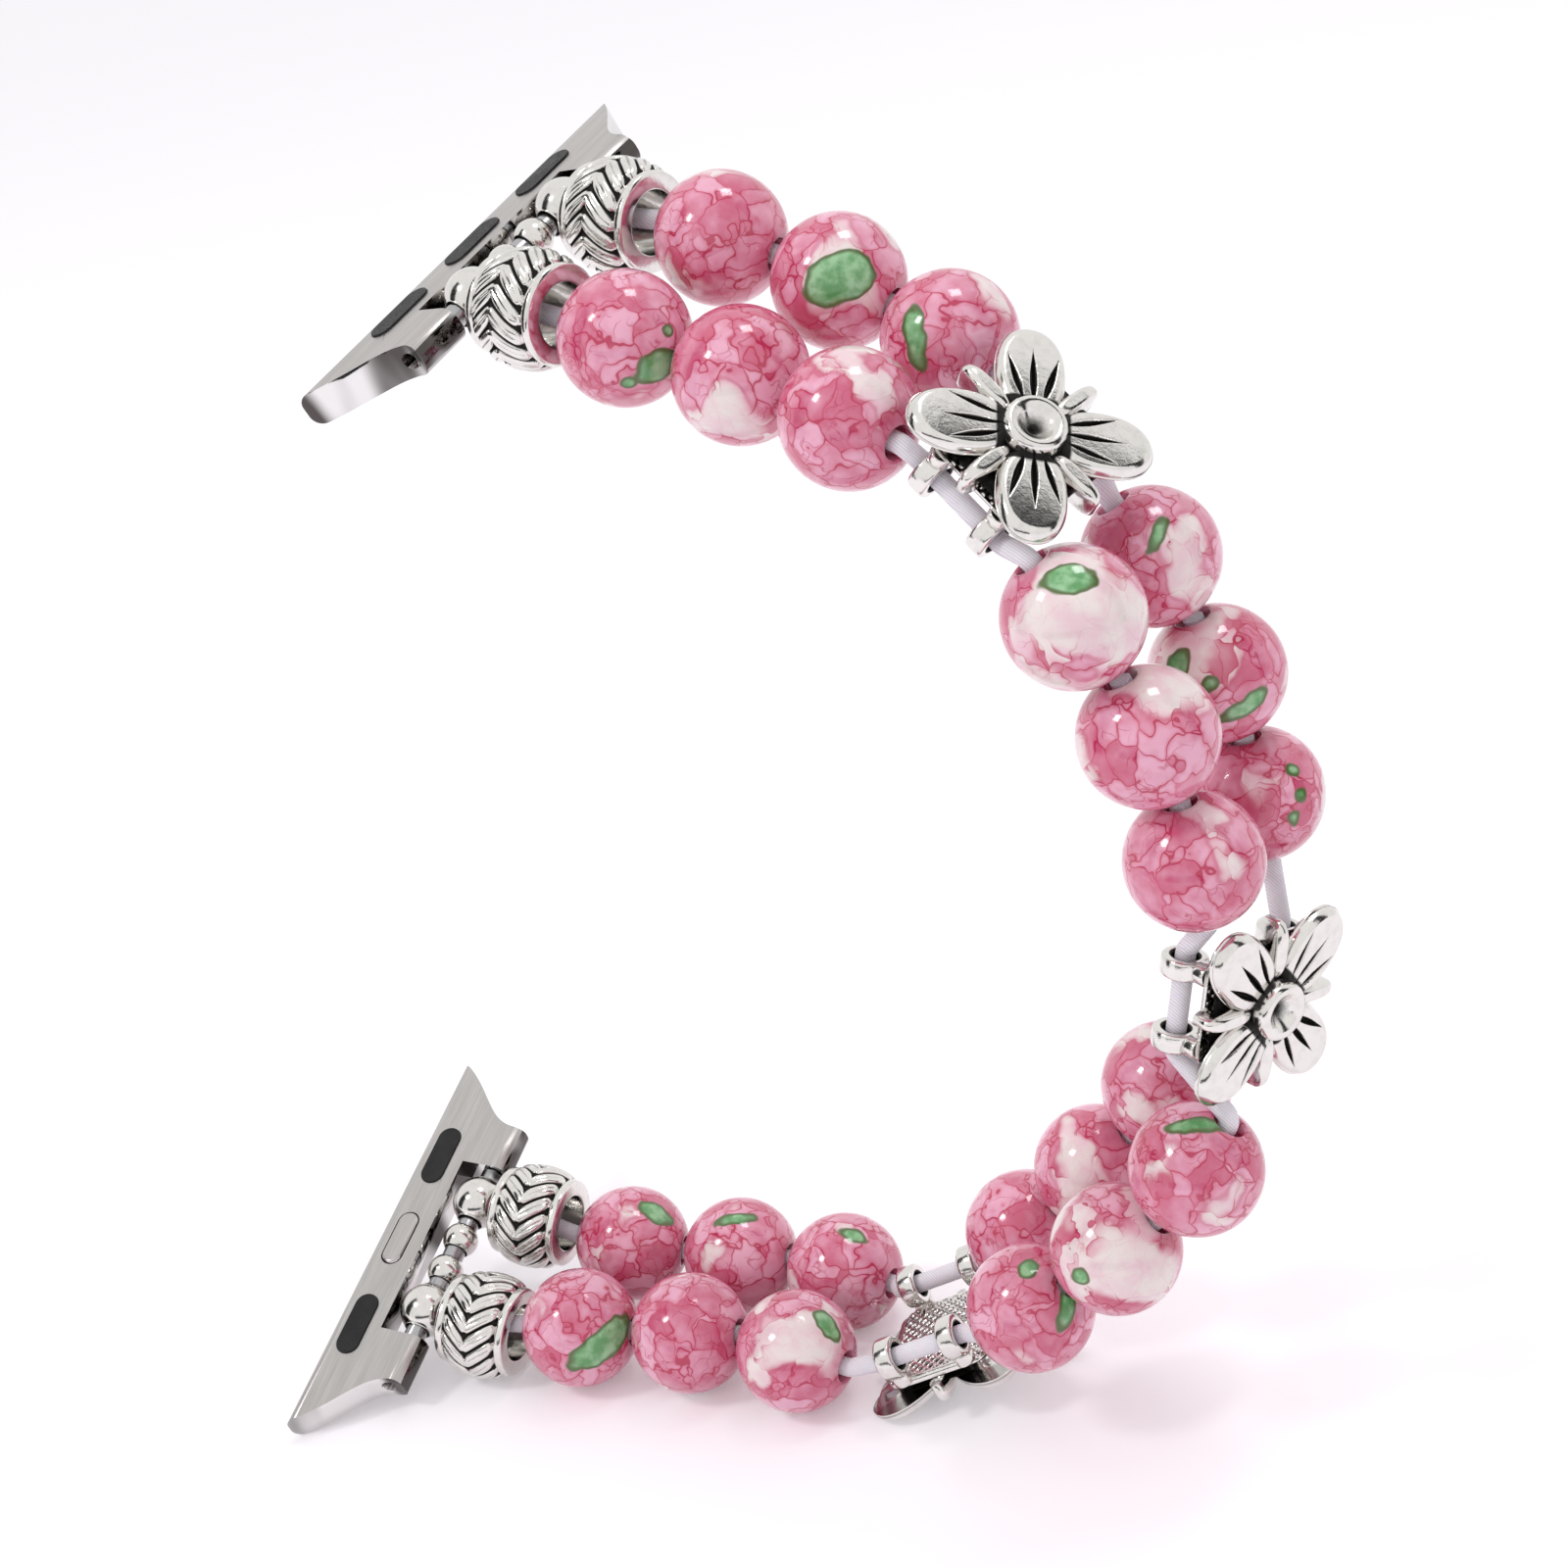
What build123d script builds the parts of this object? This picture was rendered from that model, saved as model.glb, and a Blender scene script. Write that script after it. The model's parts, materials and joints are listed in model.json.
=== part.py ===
"""Two-strand beaded watch band with flower spacers and a slide-in adapter at each end.

The band stands as an open C. Its lower leg lies along X near the floor and its
upper leg reaches back above it. Millimetres, +Z up. Near strand towards -Y.
"""
from build123d import *
import os
from math import radians, sqrt, tan

os.makedirs("parts", exist_ok=True)

# beads and cord
bead_d = 8.0                # round marbled beads
bead_bore_d = 2.0
bead_gap = 0.18             # between neighbouring beads on a strand
strand_pitch = 9.0          # near strand to far strand
cord_d = 1.2                # elastic cord
cord_turn_r = 0.8           # radius of the cord where it turns
cord_stop = 0.3             # cord pieces end this far from a flexing gap

# engraved barrel beads
barrel_d = 7.3
barrel_l = 5.2
barrel_bore_d = 3.8
barrel_rim_l = 0.7
barrel_rim_d = 6.2
barrel_neck_d = 5.8         # groove inside each rim
barrel_gap = 0.4            # to the round bead beside it
leaf_depth = 0.35
leaf_w = 0.5
leaf_l = 2.5
leaf_count = 12
leaf_slant = 40             # degrees

# flower spacers
flower_span = 9.3           # between the bead gaps at its two sides
flower_stretch = 3.0        # extra cord shown at the middle flower
petal_l = 5.9
petal_w = 4.0
petal_t = 1.7
petal_reach = 6.9           # centre to petal tip
petal_edge_r = 0.5
petal_bevel = 1.0           # slanted rim on the petals' underside, clear of the cord
petal_lift = 2.2            # cord axis to the petals' underside
core_d = 6.4
core_t = 1.3
stamen_l = 3.7
stamen_w = 1.1
stamen_t = 1.6
stamen_out = 5.3            # centre to the end of each narrow bar
stamen_edge_r = 0.35
eye_d = 3.6
eye_t = 2.35
dimple_d = 2.4
dimple_tip_d = 0.5
dimple_depth = 0.9
vein_l = 2.9
vein_w = 0.36
vein_depth = 0.45
vein_at = 3.5
vein_fan = 17               # degrees between the three grooves of a petal
back_l = 7.6
back_w = 8.6
back_t = 0.5
back_r = 1.2
loop_d = 2.8
loop_bore_d = 1.6
loop_l = 1.2
loop_end = 2.9              # flower centre to the outer face of a loop
loop_pitch = 8.0            # near loops to far loops
loop_post_w = 1.5
loop_lead = 0.3             # cord runs this far out of a loop before it turns

# spring bar, bails and small balls
bar_d = 1.5
bar_to_barrel = 2.2         # bar axis to the barrel bead's end
bail_d = 3.7
bail_w = 3.3
bail_bore_d = 1.7
bail_neck_d = 2.6
bail_neck_l = 3.4           # from the bar axis
bail_cord_bore_d = 1.4
bail_cord_depth = 1.5
ball_d = 2.5
ball_bore_d = 1.7
ball_at = 1.32              # band centre to each ball's centre
tip_d = 0.9
tip_bore_d = 1.1
tip_out = 1.0               # how far a tip stands in its lug
tip_in = 1.4                # length of the tip inside the bar
tip_well = 4.6              # depth of the bar's end bore
tip_edge_r = 0.25
bar_end_gap = 0.1           # bar end to lug
spring_d = 0.95
spring_bore_d = 0.5
spring_end_gap = 0.02

# adapter plates
plate_l = 30.4              # long edge, across the band
plate_t = 2.2
edge_out = 5.8              # bar axis to the long edge
slot_w = 14.0
slot_out = 2.1              # bar axis to the slot's bottom
lug_out = 10.6              # band centre to a lug's outer face
lug_back = 1.25             # bar axis to a lug's end
lug_edge_r = 0.95
long_edge_r = 0.8
# the plate's curved sides, as shares of the run from lug to edge and of the rise to the tip
side_shares = [(0, 0), (0.28, 0.06), (0.55, 0.42), (0.8, 0.8), (1, 1)]
pad_l = 4.7
pad_w = 1.7
pad_at = 7.1                # band centre to each pad's centre
pad_in = 3.95               # bar axis to the pads' line
pad_proud = 0.12
pad_fit = 0.03
button_l = 4.2
button_w = 1.5
button_t = 0.95
button_proud = 0.15
button_travel = 0.5
button_fit = 0.08
button_well = 1.45          # depth of the button's pocket
button_edge_r = 0.2
button_spring_d = 1.1
cover_t = 0.55              # middle cover on the outer face

# how the band rests
start_tilt = -8             # degrees, lower end of the band
start_roll = 8              # degrees about the lower end's own length
upper_swivel = 14           # degrees the upper plate hangs inwards
lower_swivel = -3           # degrees, lower plate
# degrees of twist, bend and sway from each end row to its barrels
END_TURNS = {"lower": (15, 0, 2), "upper": (4, 14, 4)}
# stations from the lower end to the upper end
STATIONS = ["row12", "row11", "row10", "flower3", "row9", "row8", "row7", "flower2",
            "row6", "row5", "row4", "flower1", "row3", "row2", "row1"]
# degrees of twist, bend and sway from each station to the next
TURNS = [(-12, 10, 1), (5, -6, 1), (2, 24, -10), (4, 23, -10), (9, 3, -1), (2, 9, 0), (-59, 15, 15),
         (19, 14, 8), (-1, 9, 0), (-3, 11, 0), (-18, 23, 3), (4, 24, 3), (-17, 0, 1), (0, -3, 0)]
# how far each station drifts sideways, as a share of the bead diameter
drift_shares = [-0.11, 0.02, 0.18, 0.19, 0.38, 0.31, 0.15, 0, 0.11, 0.19, 0.24, 0, -0.1, 0.06, 0.16]
# stations that bend as one piece, from the lower end to the upper end
LINKS = [("end_lower", ["row12"]), ("single_4", ["row11"]), ("flower_3", ["row10", "flower3", "row9"]),
         ("single_3", ["row8"]), ("flower_2", ["row7", "flower2", "row6"]), ("single_2", ["row5"]),
         ("flower_1", ["row4", "flower1", "row3"]), ("single_1", ["row2"]), ("end_upper", ["row1"])]

half_strand = strand_pitch / 2
bead_step = bead_d + bead_gap
bar_run = barrel_gap + barrel_l + bar_to_barrel   # end bead's step end to the bar axis
button_back = -plate_t / 2 + button_t - button_proud
button_floor = -plate_t / 2 + button_well


def station_length(name, drift):
    """Length of one station along the band; a bead keeps its step along its slanted strand."""
    if name == "flower2":
        return flower_span + flower_stretch
    if name.startswith("flower"):
        return flower_span
    return sqrt(bead_step ** 2 - drift ** 2)


def walk():
    """Entry, middle and exit place of every station, from the lower end."""
    places = {}
    place = Location((0, 0, 0)) * Rotation(180 + start_roll, 0, 0) * Rotation(0, start_tilt, 0)
    for number, name in enumerate(STATIONS):
        if number:
            place = place * Rotation(*TURNS[number - 1])
        drift = drift_shares[number] * bead_d
        length = station_length(name, drift)
        middle = place * Location((length / 2, drift / 2, 0))
        leave = place * Location((length, drift, 0))
        places[name] = (place, middle, leave)
        place = leave
    return places


def point(place, x, y, z):
    """A point given in the frame of a place."""
    return (place * Location((x, y, z))).position


def strand_points(places, side):
    """Points where one strand crosses the gaps; side is 1 near and -1 far."""
    points = []
    for number, name in enumerate(STATIONS):
        here = point(places[name][0], 0, side * half_strand, 0)
        last = STATIONS[number - 1] if number else name
        before = point(places[last][2], 0, side * half_strand, 0)
        if name.startswith("flower"):
            here = before
        elif number and not last.startswith("flower"):
            here = (here + before) * 0.5
        points.append(here)
    points.append(point(places[STATIONS[-1]][2], 0, side * half_strand, 0))
    return points


def along(start, end, up):
    """A place midway between two points with X from the first to the second."""
    run = (end - start).normalized()
    side = up.cross(run).normalized()
    return Plane(origin=(start + end) * 0.5, x_dir=run, z_dir=run.cross(side)).location


def cord_path(points):
    """Straight runs joined by tangent arcs."""
    with BuildLine() as path:
        start = points[0]
        for number in range(1, len(points) - 1):
            before = (points[number] - points[number - 1]).normalized()
            after = (points[number + 1] - points[number]).normalized()
            turn = before.get_angle(after)
            if turn > 0.5:
                reach = cord_turn_r * tan(radians(turn / 2))
                enter = points[number] - before * reach
                leave = points[number] + after * reach
                Line(start, enter)
                TangentArc(enter, leave, tangent=before)
                start = leave
        Line(start, points[-1])
    return path.wires()[0]


def cord_piece(points):
    """One stretch of round cord along its points."""
    with BuildPart() as piece:
        with BuildSketch(Plane(origin=points[0], z_dir=points[1] - points[0])):
            Circle(cord_d / 2)
        sweep(path=cord_path(points))
    return piece.part


def ring_places(reach, first):
    """Four places round a flower's centre, the first at an angle in degrees."""
    return [Rotation(0, 0, first + 90 * number) * Location((reach, 0, 0)) for number in range(4)]


# one of each repeated piece, in its own frame
with BuildPart() as bead:
    face_x = sqrt(bead_d ** 2 - bead_bore_d ** 2) / 2
    with BuildSketch(Plane.XY):
        with BuildLine():
            ThreePointArc((-face_x, bead_bore_d / 2), (0, bead_d / 2), (face_x, bead_bore_d / 2))
            Line((face_x, bead_bore_d / 2), (-face_x, bead_bore_d / 2))
        make_face()
    revolve(axis=Axis.X)

with BuildPart() as barrel:
    with BuildSketch(Plane.XY):
        with BuildLine():
            rim_in = barrel_l / 2 - barrel_rim_l
            Polyline((-rim_in, barrel_neck_d / 2), (-rim_in, barrel_rim_d / 2),
                     (-barrel_l / 2, barrel_rim_d / 2), (-barrel_l / 2, barrel_bore_d / 2),
                     (barrel_l / 2, barrel_bore_d / 2), (barrel_l / 2, barrel_rim_d / 2),
                     (rim_in, barrel_rim_d / 2), (rim_in, barrel_neck_d / 2))
            ThreePointArc((rim_in, barrel_neck_d / 2), (0, barrel_d / 2), (-rim_in, barrel_neck_d / 2))
        make_face()
    revolve(axis=Axis.X)
    for number in range(leaf_count):
        for lean in (-1, 1):
            turn = Rotation((number + lean / 4) * 360 / leaf_count, 0, 0)
            seat = Location((lean * leaf_l / 4, 0, barrel_d / 2 - leaf_depth))
            with BuildSketch(Plane(turn * seat * Rotation(0, 0, leaf_slant))):
                Ellipse(leaf_l / 2, leaf_w / 2)
            extrude(amount=leaf_depth * 2, mode=Mode.SUBTRACT)

with BuildPart() as stamens:
    with BuildSketch(Plane.XY.offset(petal_lift)):
        with Locations(*ring_places(stamen_out - stamen_l / 2, 0)):
            SlotOverall(stamen_l, stamen_w)
    extrude(amount=stamen_t)
    fillet(stamens.faces().group_by(Axis.Z)[-1].edges(), stamen_edge_r)

with BuildPart() as flower:
    top = petal_lift + petal_t
    with BuildSketch(Plane.XY.offset(petal_lift)):
        with Locations(*ring_places(petal_reach - petal_l / 2, 45)):
            Ellipse(petal_l / 2, petal_w / 2)
    extrude(amount=petal_t)
    fillet(flower.faces().group_by(Axis.Z)[-1].edges(), petal_edge_r)
    chamfer(flower.faces().group_by(Axis.Z)[0].edges(), petal_bevel)
    for number in range(4):
        for lean in (-1, 0, 1):
            turn = Rotation(0, 0, 45 + 90 * number + lean * vein_fan)
            with BuildSketch(Plane(turn * Location((vein_at, 0, top - vein_depth)))):
                Ellipse(vein_l / 2, vein_w / 2)
            extrude(amount=vein_depth * 2, mode=Mode.SUBTRACT)
    with BuildSketch(Plane.XY.offset(petal_lift)):
        Circle(core_d / 2)
    extrude(amount=core_t)
    add(stamens.part)
    with BuildSketch(Plane.XY.offset(petal_lift)):
        Circle(eye_d / 2)
    extrude(amount=eye_t)
    with Locations((0, 0, petal_lift + eye_t - dimple_depth / 2)):
        Cone(dimple_tip_d / 2, dimple_d / 2, dimple_depth, mode=Mode.SUBTRACT)
    with BuildSketch(Plane.XY.offset(petal_lift - back_t)):
        RectangleRounded(back_l, back_w, back_r)
    extrude(amount=back_t * 2)
    loop_mid = loop_end - loop_l / 2
    loops = [(x * loop_mid, y * loop_pitch / 2, 0) for x in (-1, 1) for y in (-1, 1)]
    with Locations(*[(x, y, petal_lift / 2) for x, y, _ in loops]):
        Box(loop_l, loop_post_w, petal_lift)
    with Locations(*loops):
        Cylinder(loop_d / 2, loop_l, rotation=(0, 90, 0))
    with Locations(*loops):
        Cylinder(loop_bore_d / 2, loop_l * 2, rotation=(0, 90, 0), mode=Mode.SUBTRACT)

with BuildPart() as bail:
    Sphere(bail_d / 2)
    Box(bail_d, bail_w, bail_d, mode=Mode.INTERSECT)
    with BuildSketch(Plane.YZ):
        Circle(bail_neck_d / 2)
    extrude(amount=bail_neck_l)
    with BuildSketch(Plane.YZ.offset(bail_neck_l - bail_cord_depth)):
        Circle(bail_cord_bore_d / 2)
    extrude(amount=bail_cord_depth, mode=Mode.SUBTRACT)
    Cylinder(bail_bore_d / 2, bail_w * 2, rotation=(90, 0, 0), mode=Mode.SUBTRACT)

with BuildPart() as ball:
    end_y = sqrt(ball_d ** 2 - ball_bore_d ** 2) / 2
    with BuildSketch(Plane.XY):
        with BuildLine():
            ThreePointArc((ball_bore_d / 2, -end_y), (ball_d / 2, 0), (ball_bore_d / 2, end_y))
            Line((ball_bore_d / 2, end_y), (ball_bore_d / 2, -end_y))
        make_face()
    revolve(axis=Axis.Y)

# across the band: a plane whose Z runs towards the near side
across = Plane(origin=(0, 0, 0), x_dir=(1, 0, 0), z_dir=(0, 1, 0))
bar_half = slot_w / 2 - bar_end_gap

with BuildPart() as bar:
    with BuildSketch(across.offset(-bar_half)):
        Circle(bar_d / 2)
    extrude(amount=bar_half * 2)
    with BuildSketch(across.offset(-bar_half - bar_end_gap - tip_out)):
        Circle(tip_d / 2)
    extrude(amount=bar_end_gap + tip_out + tip_in)
    with BuildSketch(across.offset(bar_half - tip_well)):
        Circle(tip_bore_d / 2)
    extrude(amount=tip_well, mode=Mode.SUBTRACT)

with BuildPart() as tip:
    with BuildSketch(across.offset(bar_half - tip_in)):
        Circle(tip_d / 2)
    extrude(amount=tip_in + bar_end_gap + tip_out)
    fillet(tip.faces().sort_by(Axis.Y)[-1].edges(), tip_edge_r)

with BuildPart() as bar_spring:
    with BuildSketch(across.offset(bar_half - tip_well + spring_end_gap)):
        Circle(spring_d / 2)
        Circle(spring_bore_d / 2, mode=Mode.SUBTRACT)
    extrude(amount=tip_well - tip_in - spring_end_gap * 2)

with BuildPart() as plate:
    side_run = edge_out + lug_back
    side_rise = plate_l / 2 - lug_out
    side_points = [(-lug_back + a * side_run, lug_out + b * side_rise) for a, b in side_shares]
    with BuildSketch(Plane.XY.offset(-plate_t / 2)):
        with BuildLine():
            Polyline((-lug_back, lug_out), (-lug_back, slot_w / 2), (slot_out, slot_w / 2),
                     (slot_out, -slot_w / 2), (-lug_back, -slot_w / 2), (-lug_back, -lug_out))
            Spline(*[(x, -y) for x, y in side_points])
            Line((edge_out, -plate_l / 2), (edge_out, plate_l / 2))
            Spline(*side_points[::-1])
        make_face()
    extrude(amount=plate_t)
    fillet(plate.edges().filter_by(Axis.Y).group_by(Axis.X)[-1], long_edge_r)
    fillet(plate.edges().filter_by(Axis.Y).group_by(Axis.X)[0], lug_edge_r)
    with BuildSketch(Plane.XY.offset(-plate_t)):
        with Locations((pad_in, pad_at), (pad_in, -pad_at)):
            SlotOverall(pad_l + pad_fit * 2, pad_w + pad_fit * 2, rotation=90)
    extrude(amount=plate_t * 2, mode=Mode.SUBTRACT)
    with BuildSketch(Plane.XY.offset(plate_t / 2 - cover_t)):
        with Locations((pad_in, 0)):
            SlotOverall(pad_l + pad_fit * 2, pad_w + pad_fit * 2, rotation=90)
    extrude(amount=cover_t, mode=Mode.SUBTRACT)
    with BuildSketch(Plane.XY.offset(-plate_t / 2)):
        with Locations((pad_in, 0)):
            SlotOverall(button_l + button_fit * 2, button_w + button_fit * 2, rotation=90)
    extrude(amount=button_well, mode=Mode.SUBTRACT)
    Cylinder(tip_bore_d / 2, plate_l, rotation=(90, 0, 0), mode=Mode.SUBTRACT)

with BuildPart() as pads:
    with BuildSketch(Plane.XY.offset(-plate_t / 2 - pad_proud)):
        with Locations((pad_in, pad_at), (pad_in, -pad_at)):
            SlotOverall(pad_l, pad_w, rotation=90)
    extrude(amount=plate_t + pad_proud * 2)
    with BuildSketch(Plane.XY.offset(plate_t / 2 - cover_t + pad_fit)):
        with Locations((pad_in, 0)):
            SlotOverall(pad_l, pad_w, rotation=90)
    extrude(amount=cover_t - pad_fit + pad_proud)

with BuildPart() as button:
    with BuildSketch(Plane.XY.offset(-plate_t / 2 - button_proud)):
        with Locations((pad_in, 0)):
            SlotOverall(button_l, button_w, rotation=90)
    extrude(amount=button_t)
    fillet(button.faces().sort_by(Axis.Z)[0].edges(), button_edge_r)

with BuildPart() as button_spring:
    with BuildSketch(Plane.XY.offset(button_back + spring_end_gap)):
        with Locations((pad_in, 0)):
            Circle(button_spring_d / 2)
            Circle(spring_bore_d / 2, mode=Mode.SUBTRACT)
    extrude(amount=button_floor - button_back - spring_end_gap * 2)

# where everything goes
places = walk()
near_points = strand_points(places, 1)
far_points = strand_points(places, -1)
lower_gap = places["row12"][0] * Rotation(*END_TURNS["lower"])
upper_gap = places["row1"][2] * Rotation(*END_TURNS["upper"])
lower_bar = lower_gap * Location((-bar_run, 0, 0))
upper_bar = upper_gap * Location((bar_run, 0, 0))
lower_plate = lower_bar * Rotation(0, -lower_swivel, 0) * Rotation(0, 0, 180)
upper_plate = upper_bar * Rotation(0, upper_swivel, 0)
half_turn = Rotation(0, 0, 180)

pieces = []
bead_places = {}
for number, name in enumerate(STATIONS):
    if name.startswith("flower"):
        pieces.append((name.replace("flower", "flower_"), [(flower.part, places[name][1])]))
        continue
    up = point(places[name][1], 0, 0, bead_d) - places[name][1].position
    for side, points in (("near", near_points), ("far", far_points)):
        spot = along(points[number], points[number + 1], up)
        bead_places[f"{side}_bead_{name[3:]}"] = spot
        pieces.append((f"{side}_bead_{name[3:]}", [(bead.part, spot)]))

barrel_places = {}
ball_places = {}
for end, gap_place, bar_place, way in (("lower", lower_gap, lower_bar, -1),
                                       ("upper", upper_gap, upper_bar, 1)):
    for side, y in (("near", half_strand), ("far", -half_strand)):
        spot = gap_place * Location((way * (barrel_gap + barrel_l / 2), y, 0))
        barrel_places[f"{side}_barrel_{end}"] = spot
        pieces.append((f"{side}_barrel_{end}", [(barrel.part, spot)]))
        spot = bar_place * Location((0, y / half_strand * ball_at, 0))
        ball_places[f"{side}_ball_{end}"] = spot
        pieces.append((f"{side}_ball_{end}", [(ball.part, spot)]))
    facing = half_turn if way == 1 else Location((0, 0, 0))
    bail_spots = [(bail.part, bar_place * Location((0, y, 0)) * facing) for y in (half_strand, -half_strand)]
    pieces.append((f"bails_{end}", bail_spots))
    pieces.append((f"bar_{end}", [(bar.part, bar_place)]))
    pieces.append((f"bar_tip_{end}", [(tip.part, bar_place)]))
    pieces.append((f"bar_spring_{end}", [(bar_spring.part, bar_place)]))

for end, spot in (("lower", lower_plate), ("upper", upper_plate)):
    pieces.append((f"plate_{end}", [(plate.part, spot)]))
    pieces.append((f"pads_{end}", [(pads.part, spot)]))
    pieces.append((f"latch_button_{end}", [(button.part, spot)]))
    pieces.append((f"latch_spring_{end}", [(button_spring.part, spot)]))


def link_points(stations, points, side):
    """The cord's points through one link, with its loops and its ends."""
    first = STATIONS.index(stations[0])
    route = [points[first]]
    for number, name in enumerate(stations):
        if name.startswith("flower"):
            for x in (-1, 1):
                route.append(point(places[name][1], x * (loop_end + loop_lead), side * loop_pitch / 2, 0))
        route.append(points[first + number + 1])
    start = (route[1] - route[0]).normalized() * cord_stop
    stop = (route[-2] - route[-1]).normalized() * cord_stop
    route[0] = route[0] + start
    route[-1] = route[-1] + stop
    held = bail_neck_l - bail_cord_depth + cord_stop
    free = bail_neck_l + cord_stop
    if stations[0] == STATIONS[0]:
        route[:1] = [point(lower_bar, x, side * half_strand, 0) for x in (held, free)] + [points[first]]
    if stations[-1] == STATIONS[-1]:
        route[-1:] = [points[-1]] + [point(upper_bar, -x, side * half_strand, 0) for x in (free, held)]
    return route


for link, stations in LINKS:
    runs = [cord_piece(link_points(stations, points, side))
            for points, side in ((near_points, 1), (far_points, -1))]
    pieces.append((f"cord_{link}", [(run, Location((0, 0, 0))) for run in runs]))

# the origin is the middle of the base
boxes = [shape.moved(spot).bounding_box() for _, spots in pieces for shape, spot in spots]
home = Location((-(min(b.min.X for b in boxes) + max(b.max.X for b in boxes)) / 2,
                 -(min(b.min.Y for b in boxes) + max(b.max.Y for b in boxes)) / 2,
                 -min(b.min.Z for b in boxes)))


def write(name, spots):
    """Writes one piece of the band, made of one or more solids."""
    with BuildPart() as node:
        add([shape.moved(home * spot) for shape, spot in spots])
    node.part.label = name
    export_step(node.part, f"parts/{name}.step")


for name, spots in pieces:
    write(name, spots)
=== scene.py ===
"""Dresses the two-strand beaded watch band: marbled beads, antique silver, brushed adapters.

Shapes are worked out in millimetres in each piece's own frame and placed in metres.
"""
import json
import math
import bpy
import numpy as np
from mathutils import Matrix, Vector


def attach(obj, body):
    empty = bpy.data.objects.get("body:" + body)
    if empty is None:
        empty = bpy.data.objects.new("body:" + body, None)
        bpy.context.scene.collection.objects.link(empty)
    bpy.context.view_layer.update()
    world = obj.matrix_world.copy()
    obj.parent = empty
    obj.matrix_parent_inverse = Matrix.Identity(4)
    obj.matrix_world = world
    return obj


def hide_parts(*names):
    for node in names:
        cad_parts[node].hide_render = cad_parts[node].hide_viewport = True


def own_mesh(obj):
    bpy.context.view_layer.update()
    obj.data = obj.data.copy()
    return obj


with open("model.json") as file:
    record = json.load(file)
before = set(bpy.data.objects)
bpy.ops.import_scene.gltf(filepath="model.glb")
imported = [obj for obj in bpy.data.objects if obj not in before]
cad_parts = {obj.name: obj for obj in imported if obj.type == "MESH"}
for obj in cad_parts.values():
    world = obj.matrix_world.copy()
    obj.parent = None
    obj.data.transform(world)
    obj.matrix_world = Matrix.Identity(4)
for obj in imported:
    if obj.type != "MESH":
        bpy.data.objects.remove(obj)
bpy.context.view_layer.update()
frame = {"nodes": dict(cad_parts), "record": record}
joints = {j["name"]: j for j in frame["record"]["behaviour"]["joints"]}
nodes = frame["nodes"]


# Frames along the band, as in the part's source (millimetres and degrees)

bead_r, bore_r, bead_step, half_strand = 4.0, 1.0, 8.18, 4.5
flower_step, middle_flower_step = 9.3, 12.3
STATIONS = ["row12", "row11", "row10", "flower3", "row9", "row8", "row7", "flower2",
            "row6", "row5", "row4", "flower1", "row3", "row2", "row1"]
TURNS = [(-12, 10, 1), (5, -6, 1), (2, 24, -10), (4, 23, -10), (9, 3, -1),
         (2, 9, 0), (-59, 15, 15), (19, 14, 8), (-1, 9, 0), (-3, 11, 0),
         (-18, 23, 3), (4, 24, 3), (-17, 0, 1), (0, -3, 0)]
END_TURNS = {"lower": (15, 0, 2), "upper": (4, 14, 4)}
# Sideways step over each station, in bead diameters
DRIFTS = [-0.11, 0.02, 0.18, 0.19, 0.38, 0.31, 0.15, 0, 0.11, 0.19, 0.24, 0, -0.1, 0.06, 0.16]
start_tilt, start_roll, lower_swivel, upper_swivel = -8, 8, -3, 14
barrel_gap, barrel_l, barrel_to_bar = 0.4, 5.2, 2.2
bar_run = barrel_gap + barrel_l + barrel_to_bar
same_place = 2e-5  # metres


def shift(x, y, z):
    """A move without a turn."""
    m = np.eye(4)
    m[:3, 3] = (x, y, z)
    return m


def turned(x, y, z):
    """Turns about X, then the moved Y, then the moved Z, in degrees."""
    m = np.eye(4)
    for axis, angle in enumerate((x, y, z)):
        c, s = math.cos(math.radians(angle)), math.sin(math.radians(angle))
        r = np.eye(4)
        i, j = ((1, 2), (2, 0), (0, 1))[axis]
        r[i, i] = r[j, j] = c
        r[i, j], r[j, i] = -s, s
        m = m @ r
    return m


def walk():
    """Entry, middle and exit frame of every station, each turned from the exit before it."""
    stops, place = {}, turned(180 + start_roll, 0, 0) @ turned(0, start_tilt, 0)
    for number, name in enumerate(STATIONS):
        if number:
            place = place @ turned(*TURNS[number - 1])
        drift = DRIFTS[number] * 2 * bead_r
        length = math.sqrt(bead_step ** 2 - drift ** 2)
        if name.startswith("flower"):
            length = middle_flower_step if name == "flower2" else flower_step
        stops[name] = (place, place @ shift(length / 2, drift / 2, 0),
                       place @ shift(length, drift, 0))
        place = stops[name][2]
    return stops


def crossing(stops, side):
    """Points where one strand crosses the gaps between stations."""
    strand = [0, side * half_strand, 0, 1]
    points = []
    for number, name in enumerate(STATIONS):
        last = STATIONS[number - 1] if number else name
        here = (stops[name][0] @ strand)[:3]
        before = (stops[last][2] @ strand)[:3] if number else here
        if name.startswith("flower"):
            here = before
        elif number and not last.startswith("flower"):
            here = (here + before) / 2
        points.append(here)
    points.append((stops[STATIONS[-1]][2] @ strand)[:3])
    return points


def along(start, end, up):
    """A frame midway between two points, X from the first to the second."""
    x = (end - start) / np.linalg.norm(end - start)
    y = np.cross(up, x)
    y /= np.linalg.norm(y)
    m = np.eye(4)
    m[:3, :3] = np.stack([x, y, np.cross(x, y)], 1)
    m[:3, 3] = (start + end) / 2
    return m


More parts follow.
